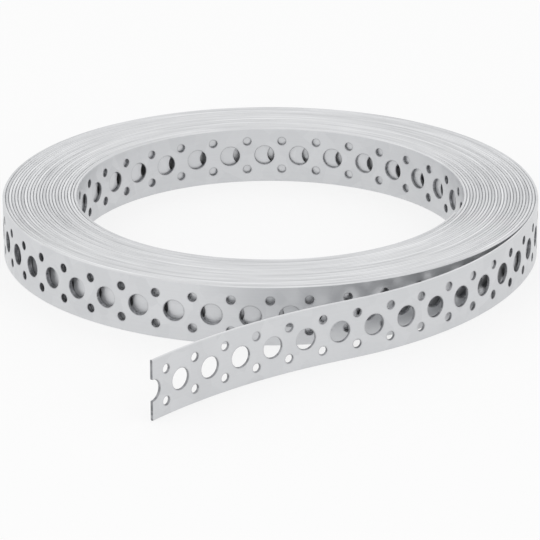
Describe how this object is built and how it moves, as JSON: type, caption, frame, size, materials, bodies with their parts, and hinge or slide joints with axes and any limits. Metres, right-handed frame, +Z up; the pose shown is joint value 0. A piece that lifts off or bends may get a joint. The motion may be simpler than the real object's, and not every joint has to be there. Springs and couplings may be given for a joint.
{
  "type": "perforated steel strap",
  "caption": "Coil of thin galvanised steel fixing strap with large holes along the middle and pairs of small holes between them, its free end leading off the outer turn",
  "frame": {"origin": "on the coil's axis, at the level of the floor that the coil lies on", "axes": "+Z up along the coil's axis, -Y towards the side from which the free end's tip is seen, +X to the right from there"},
  "size_m": [0.1559, 0.2067, 0.017],
  "materials": {
    "galvanised_steel": "zinc coated, light grey, satin with faint spangle"
  },
  "bodies": {
    "root": {"strap": "galvanised_steel"}
  },
  "joints": []
}
